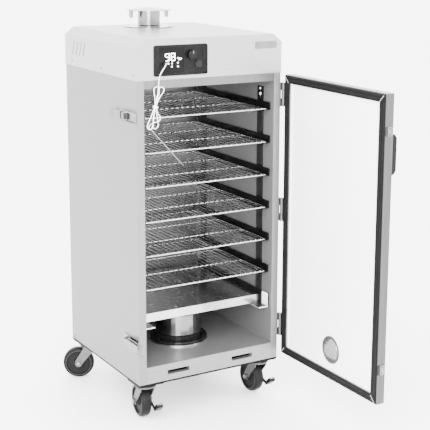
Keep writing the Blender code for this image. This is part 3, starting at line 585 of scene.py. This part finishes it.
def hood_details(paint):
    """Screws round the body and the hood, and the badge's rivets."""
    bm = bmesh.new()
    for side in (-1, 1):
        for y in (173, -20, -205):
            add_screw(bm, (side * (HALF_WIDTH + 1.5), y, 810), (side, 0, 0), 2.6)
        for y in (200, 0, -195):
            add_screw(bm, (side * HALF_WIDTH, y, 8), (side, 0, 0), 2.6)
    for x in (-180, 0, 180):
        add_screw(bm, (x, BACK + 1, 812), (0, 1, 0), 2.6)
        for z in (20, 400, 780):
            add_screw(bm, (x, BACK, z), (0, 1, 0), 2.6)
    piece("body_screws", bm, paint["zinc"], "cabinet")

    bm = bmesh.new()
    for x in (135, 193):
        add_turned(bm, [(1.6, 0), (1.4, 0.7), (0, 1.0)], (x, HOOD_FRONT - 1.6, 872), (0, -1, 0), 12)
    piece("badge_rivets", bm, paint["zinc"], "cabinet")


def chimney_details(paint):
    """A rolled bead at the foot of the pipe and the flange's screws."""
    bm = bmesh.new()
    bead = [(31.1, 0), (34, 0), (34, 0.8), (32, 3), (31.1, 3.4)]
    add_turned(bm, [(r, FLANGE_TOP + up) for r, up in bead], (CHIMNEY_X, CHIMNEY_Y, 0), (0, 0, 1))
    piece("pipe_bead", bm, paint["polished"], "cabinet")
    bm = bmesh.new()
    for i in range(4):
        turn = math.pi / 4 + math.pi / 2 * i
        x, y = CHIMNEY_X + 60 * math.cos(turn), CHIMNEY_Y + 60 * math.sin(turn)
        add_screw(bm, (x, y, FLANGE_TOP), (0, 0, 1), 3)
    piece("flange_screws", bm, paint["zinc"], "cabinet")


# ---- door ---------------------------------------------------------------------------

SEAL_OUTER = ((-214.0, 212.0), (16.0, 790.0))
SEAL_PROFILE = [(0, 0), (0.3, 2.6), (2.5, 3.6), (8, 3.4), (10, 2.2)]
SEAL_PROFILE += [(12, 3.4), (17.5, 3.6), (19.7, 2.6), (20, 0)]


def door_seal(paint):
    """Four mitred lengths of seal: two rounded lips with a groove between them."""
    bm = bmesh.new()
    back = DOOR_INNER + 0.3
    rings = []
    for inset, height in SEAL_PROFILE:
        x = (SEAL_OUTER[0][0] + inset, SEAL_OUTER[0][1] - inset)
        z = (SEAL_OUTER[1][0] + inset, SEAL_OUTER[1][1] - inset)
        corners = [(x[1], z[1]), (x[0], z[1]), (x[0], z[0]), (x[1], z[0])]
        rings.append([bm.verts.new((a, back + height, b)) for a, b in corners])
    for a, b in zip(rings, rings[1:] + rings[:1]):
        for i in range(4):
            bm.faces.new((a[i - 1], a[i], b[i], b[i - 1]))
    seal = piece("door_seal", bm, paint["seal"], "door", smooth=False, move=DOOR_OPEN)
    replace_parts(seal, "door_gasket")

    bm = bmesh.new()
    for x, side_x in ((SEAL_OUTER[0][0], 1), (SEAL_OUTER[0][1], -1)):
        for z, side_z in ((SEAL_OUTER[1][0], 1), (SEAL_OUTER[1][1], -1)):
            start = Vector((x + side_x * 2.5, back + 3.65, z + side_z * 2.5))
            along = Vector((side_x, 0, side_z)) * 15.5
            across = Vector((side_x, 0, -side_z)) * 0.5
            corners = [start - across, start + across, start + along + across, start + along - across]
            bm.faces.new([bm.verts.new(corner) for corner in corners])
    piece("seal_mitres", bm, paint["mitre"], "door", smooth=False, move=DOOR_OPEN)


def door_details(paint):
    """A folded bead round the inner panel, screws on the edges and the handle's grip ribs."""
    bm = bmesh.new()
    face = DOOR_INNER - 4.5
    outer = [(-193.5, 36.5), (191.5, 36.5), (191.5, 769.5), (-193.5, 769.5)]
    inner = [(-187, 43), (185, 43), (185, 763), (-187, 763)]
    add_frame(bm, outer, inner, face, face + 1.6)
    piece("liner_bead", bm, paint["liner"], "door", smooth=False, move=DOOR_OPEN)

    bm = bmesh.new()
    for x in (17, -166):
        add_screw(bm, (x, FRONT - 17, DOOR_TOP), (0, 0, 1), 2.4)
    for z in (694, 709, 96, 111):
        add_screw(bm, (-218, -238, z), (-1, 0, 0), 2.2)
    piece("door_screws", bm, paint["zinc"], "door", move=DOOR_OPEN)

    bm = bmesh.new()
    for i in range(9):
        z = 612 + 8 * i
        add_box(bm, (-211, DOOR_OUTER - 14.2, z), (-198, DOOR_OUTER - 13.6, z + 4), 0.25)
    piece("handle_ribs", bm, paint["black_plastic"], "door", move=DOOR_OPEN)


def hinge_screws(paint):
    """Three screws in each body leaf and two in each door leaf."""
    cabinet, door = bmesh.new(), bmesh.new()
    for z in HINGE_HEIGHTS:
        for dz in (-22, 0, 22):
            add_screw(cabinet, (HALF_WIDTH + 2.8, -198, z + dz), (1, 0, 0), 2.6)
        for dz in (-24, 24):
            add_screw(door, (216.3, -238, z + dz), (1, 0, 0), 2.2)
    piece("hinge_screws_body", cabinet, paint["zinc"], "cabinet")
    piece("hinge_screws_door", door, paint["zinc"], "door", move=DOOR_OPEN)


# ---- racks and the inside -----------------------------------------------------------

RACK_HALF = 182.0
RACK_FRONT, RACK_BACK = -202.2, 184.0
RACK_WIRES = 22
WIRE_RADIUS = 1.5
BAR_DROP = 1.2


def rack_wire(x, z):
    """One wire from back to front, its front end bent down over the front bar."""
    top = z + 1.9
    return [
        (x, RACK_BACK, top),
        (x, RACK_FRONT + 3, top),
        (x, RACK_FRONT - 0.2, top - 0.5),
        (x, RACK_FRONT - 1.0, top - 2.4),
    ]


def racks(paint):
    """Each rack as its wires, the border they lie in and two cross bars."""
    for i in range(RACK_COUNT):
        node = f"rack_{i + 1}"
        low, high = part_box(node)
        z = ((low.z + high.z) / 2 - BODY_CENTRE.z) / MM
        pitch = 2 * RACK_HALF / (RACK_WIRES + 1)
        rows = [rack_wire(-RACK_HALF + pitch * (k + 1), z) for k in range(RACK_WIRES)]
        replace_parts(wires(f"{node}_wires", rows, WIRE_RADIUS, paint["wire"], node), node)
        border = rounded((-RACK_HALF, RACK_HALF), (RACK_FRONT, RACK_BACK), 5)
        frame_route = [(x, y, z - BAR_DROP + 0.4) for x, y in border]
        wires(f"{node}_frame", [frame_route], 2.0, paint["wire"], node, closed=True)
        bars = [[(-RACK_HALF, y, z - BAR_DROP), (RACK_HALF, y, z - BAR_DROP)] for y in (-75, 55)]
        wires(f"{node}_bars", bars, 1.6, paint["wire"], node)


STUD = [(4.2, 0), (4.2, 2.0), (3.4, 2.6), (0, 2.8)]
STUD_Z = 734
POST_SPANS_Y = ((-169.5, -141.5), (142.5, 171.5))
POST_SPANS_Z = ((186, 244), (271, 334), (361, 424), (451, 514), (541, 604), (631, 694))


def ladder_details(paint):
    """Hook studs and screws at the posts' keyholes and a thin skin on each tray channel, all in a near-white
    painted highlight.
    """
    bm = bmesh.new()
    for side in (-1, 1):
        for y in (-155.5, 156.5):
            face = side * (INSIDE_HALF - 0.5)
            add_turned(bm, STUD, (face, y, STUD_Z), (-side, 0, 0), 20)
            add_screw(bm, (side * (INSIDE_HALF - 2.3), y, STUD_Z + 15), (-side, 0, 0), 2.8)
    piece("ladder_studs", bm, paint["bright"], "cabinet")

    # Thin skins over the channels only to lay the painted highlight on them.
    bm = bmesh.new()
    wall = INSIDE_HALF - 0.3
    for side in (-1, 1):
        upright = sorted((side * (wall - 4.2), side * (wall - 4.7)))
        ledge = sorted((side * (wall - 31.2), side * (wall - 4.2)))
        add_box(bm, (upright[0], -208.3, 148.9), (upright[1], -180, 185), 0.1)
        add_box(bm, (ledge[0], -208.6, 146.6), (ledge[1], -206, 148.6), 0.1)
        add_box(bm, (ledge[0], -208.3, 146.5), (ledge[1], 188, 146.9), 0.1)
    piece("tray_channels", bm, paint["bright"], "cabinet")


def posts(paint):
    """A thin facing on each ladder post, between the runners, lighter than the near-black ladder as painted
    light on the posts' lit faces.
    """
    bm = bmesh.new()
    for side in (-1, 1):
        inner, outer = sorted((side * (INSIDE_HALF - 2.4), side * (INSIDE_HALF - 2.9)))
        for y in POST_SPANS_Y:
            for low, high in POST_SPANS_Z:
                add_box(bm, (inner, y[0], low), (outer, y[1], high), 0.1)
    piece("post_faces", bm, paint["post"], "cabinet")


def pan_rim(paint):
    """The pan's rolled rim and the bright foot ring of the hot plate."""
    low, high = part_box("chip_pan")
    radius, top = (high.x - low.x) / 2 / MM, (high.z - BODY_CENTRE.z) / MM
    middle = ((low + high) / 2 - BODY_CENTRE) / MM
    centre = (middle.x, middle.y, 0)
    bm = bmesh.new()
    rim = [(-1.6, -0.4), (-1.4, 1.0), (0.2, 1.6), (1.4, 0.6), (1.2, -0.8), (0.1, -1.4)]
    add_turned(bm, [(radius + out, top + up) for out, up in rim], centre, (0, 0, 1), 64)
    piece("pan_rim", bm, paint["polished"], "chip_pan")

    low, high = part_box("hot_plate")
    radius, foot = (high.x - low.x) / 2 / MM, (low.z - BODY_CENTRE.z) / MM
    bm = bmesh.new()
    band = [(-0.5, 0.2), (1.4, 0.2), (1.4, 3.4), (-0.5, 4.4)]
    add_turned(bm, [(radius + out, foot + up) for out, up in band], centre, (0, 0, 1), 64)
    piece("plate_foot_ring", bm, paint["wire"], "cabinet")


# ---- casters ------------------------------------------------------------------------

TREAD = [(44.5, 0), (44.3, 6), (43.6, 9.5), (41.5, 12.2), (38.0, 13.4), (35.5, 13.4), (34.6, 12.4)]
WEB = [(34.6, 12.4), (33.4, 9.0), (24, 8.6), (14.5, 9.4), (13.4, 13.6), (12.0, 15.4), (5.0, 15.4)]


def both_sides(half_profile):
    """A profile mirrored about the middle of the wheel."""
    return [(r, -level) for r, level in reversed(half_profile) if level] + list(half_profile)


def wheel(place, paint):
    """The tyre with rounded shoulders, and the dished hub with a bearing face on each side."""
    roll = JOINTS[f"roll_{place}"]
    centre = (Vector(roll["pos_m"]) - BODY_CENTRE) / MM
    body = f"wheel_{place}"
    bm = bmesh.new()
    add_turned(bm, both_sides(TREAD), centre, roll["axis"], 72)
    tyre = piece(f"tyre_{place}", bm, paint["tyre"], body)
    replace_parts(tyre, f"wheel_{place}")
    for side in (-1, 1):
        bm = bmesh.new()
        add_turned(bm, [(r, side * level) for r, level in WEB], centre, roll["axis"], 64)
        piece(f"hub_{place}_{'left' if side < 0 else 'right'}", bm, paint["hub"], body)
        bm = bmesh.new()
        ring = [(35.6, side * 13.45), (36.0, side * 13.8), (37.0, side * 13.8), (37.4, side * 13.4)]
        add_turned(bm, ring, centre, roll["axis"], 64)
        piece(f"wall_ring_{place}_{'left' if side < 0 else 'right'}", bm, paint["wall_ring"], body)


def swivel(place, paint):
    """The ball race over the fork and bright caps on the axle's nuts."""
    turn = JOINTS[f"swivel_{place}"]
    centre = (Vector(turn["pos_m"]) - BODY_CENTRE) / MM
    axle = JOINTS[f"roll_{place}"]
    middle = (Vector(axle["pos_m"]) - BODY_CENTRE) / MM
    along = Vector(axle["axis"])
    bm = bmesh.new()
    add_turned(bm, [(24, -6.2), (26.5, -5.6), (28.4, -3.4), (28.4, -1.4), (26, -0.5)], centre, (0, 0, 1), 48)
    piece(f"race_{place}", bm, paint["zinc"], f"fork_{place}")
    bm = bmesh.new()
    right = 28.0 if place.startswith("front") else 24.0
    for side, reach in ((-1, 24.0), (1, right)):
        cap = [(5.4, reach), (5.2, reach + 1.4), (3.6, reach + 2.2), (0, reach + 2.4)]
        add_turned(bm, cap, middle, along * side, 24)
    piece(f"axle_caps_{place}", bm, paint["polished"], f"fork_{place}")


PEDAL_FOOT, PEDAL_RISE = -8.5, 13.0  # heights over the axle


def pedal_pad(place, paint):
    """Ribbed grey pad on the brake pedal."""
    axle = JOINTS[f"roll_{place}"]
    middle = (Vector(axle["pos_m"]) - BODY_CENTRE) / MM
    along = Vector(axle["axis"])
    inward = Vector((-along.y, along.x, 0))
    bm = bmesh.new()
    for i in range(6):
        share = i / 5
        rise = Vector((0, 0, PEDAL_FOOT + PEDAL_RISE * share))
        start = middle + along * 20.5 - inward * (42.5 + 20 * share) + rise
        end = start + along * 15.5
        long = (end - start).length
        add_turned(bm, [(0, 0), (1.2, 0.2), (1.2, long - 0.2), (0, long)], start, along, 10)
    piece(f"pedal_ribs_{place}", bm, paint["pad"], f"brake_pedal_{place}")


def casters(paint):
    """The four wheels and forks, and the brake pads of the front two."""
    for place in ("front_left", "front_right", "rear_left", "rear_right"):
        wheel(place, paint)
        swivel(place, paint)
        if place.startswith("front"):
            pedal_pad(place, paint)


# ---- stage --------------------------------------------------------------------------

WORLD_STRENGTH = 7.5
KEY_POWER, FRONT_POWER = 300, 200


def stage_and_light():
    """A pale floor, a near-white world and two large soft lights."""
    floor_material = new_material("stage_floor", grey(0.94), 0.45)
    vary(floor_material, noise(floor_material, (4, 4, 4)), "Roughness", 0.42, 0.48)
    bm = bmesh.new()
    bmesh.ops.create_grid(bm, x_segments=2, y_segments=2, size=30)
    mesh = bpy.data.meshes.new("stage_floor")
    bm.to_mesh(mesh)
    bm.free()
    mesh.materials.append(floor_material)
    floor = bpy.data.objects.new("stage_floor", mesh)
    bpy.context.scene.collection.objects.link(floor)

    world = bpy.data.worlds.new("studio")
    world.use_nodes = True
    world.node_tree.nodes["Background"].inputs["Color"].default_value = (1, 1, 1, 1)
    world.node_tree.nodes["Background"].inputs["Strength"].default_value = WORLD_STRENGTH
    bpy.context.scene.world = world
    area_light("key", (-2.2, -2.6, 2.6), (0, 0, 0.7), 2.5, KEY_POWER)
    area_light("front", (-1.5, -3.0, 1.3), (0.1, 0, 0.6), 1.6, FRONT_POWER)


def area_light(name, place, target, size, power):
    """A square light at a place in the row frame, turned to a target; metres and watts."""
    data = bpy.data.lights.new(name, "AREA")
    data.shape = "SQUARE"
    data.size = size
    data.energy = power
    light = bpy.data.objects.new(name, data)
    bpy.context.scene.collection.objects.link(light)
    light.location = place
    light.rotation_euler = (Vector(target) - Vector(place)).to_track_quat("-Z", "Y").to_euler()


def dress_nodes(paint):
    """Materials for the CAD nodes that show as they are."""
    dress(["left_wall", "right_wall"], paint["side"], 0.8)
    dress(["back_wall", "ceiling_panel"], paint["inside"])
    dress(["floor_pan"], paint["floor"], 0.8)
    dress(["hood_shell"], paint["hood"], 0.8)
    dress(["door_shell"], paint["door"], 0.8)
    dress(["door_liner"], paint["liner"])
    dress(["door_air_tube", "chimney_pipe", "chimney_cap", "chip_pan", "badge_plate"], paint["polished"])
    dress(["drip_tray"], paint["wire"], 0.6)
    dress(["hot_plate"], paint["enamel"])
    dress(["base_frame"], paint["black_paint"], 0.5)
    # The ladders take the near-black steel as painted shade.
    dress(["left_ladder", "right_ladder"], paint["dark"])
    dress(["control_panel"], paint["panel"], 0.3)
    dress(["display_window"], paint["window"], 0.2)
    dress(["control_knob", "probe_jack"], paint["knob"])
    dress(["power_button"], paint["button"])
    dress(["control_board"], paint["circuit"])
    dress(["power_inlet"], paint["black_plastic"], 0.4)
    dress(["door_handle"], paint["black_plastic"], 1.5)
    dress(["keeper_upper", "keeper_lower"], paint["polished"], 0.3)
    leaves = ("body_leaf", "door_leaf")
    hinges = [f"hinge_{place}_{leaf}" for place in ("top", "middle", "bottom") for leaf in leaves]
    dress(hinges, paint["zinc"], 0.3)
    latches = [f"latch_{part}_{place}" for part in ("base", "lever", "loop") for place in ("upper", "lower")]
    dress(latches, paint["polished"], 0.2)
    for place in ("front_left", "front_right", "rear_left", "rear_right"):
        dress([f"fork_{place}"], paint["zinc"], 0.4)
        if place.startswith("front"):
            dress([f"brake_pedal_{place}"], paint["black_plastic"], 0.4)


def main():
    """Builds the visual model piece by piece, then the stage and the lights."""
    make_camera()
    paint = make_materials()
    probe(paint)
    dress_nodes(paint)
    display(paint)
    panel_trim(paint)
    knob(paint)
    hood_details(paint)
    chimney_details(paint)
    door_seal(paint)
    door_details(paint)
    hinge_screws(paint)
    racks(paint)
    ladder_details(paint)
    posts(paint)
    pan_rim(paint)
    casters(paint)
    stage_and_light()


main()
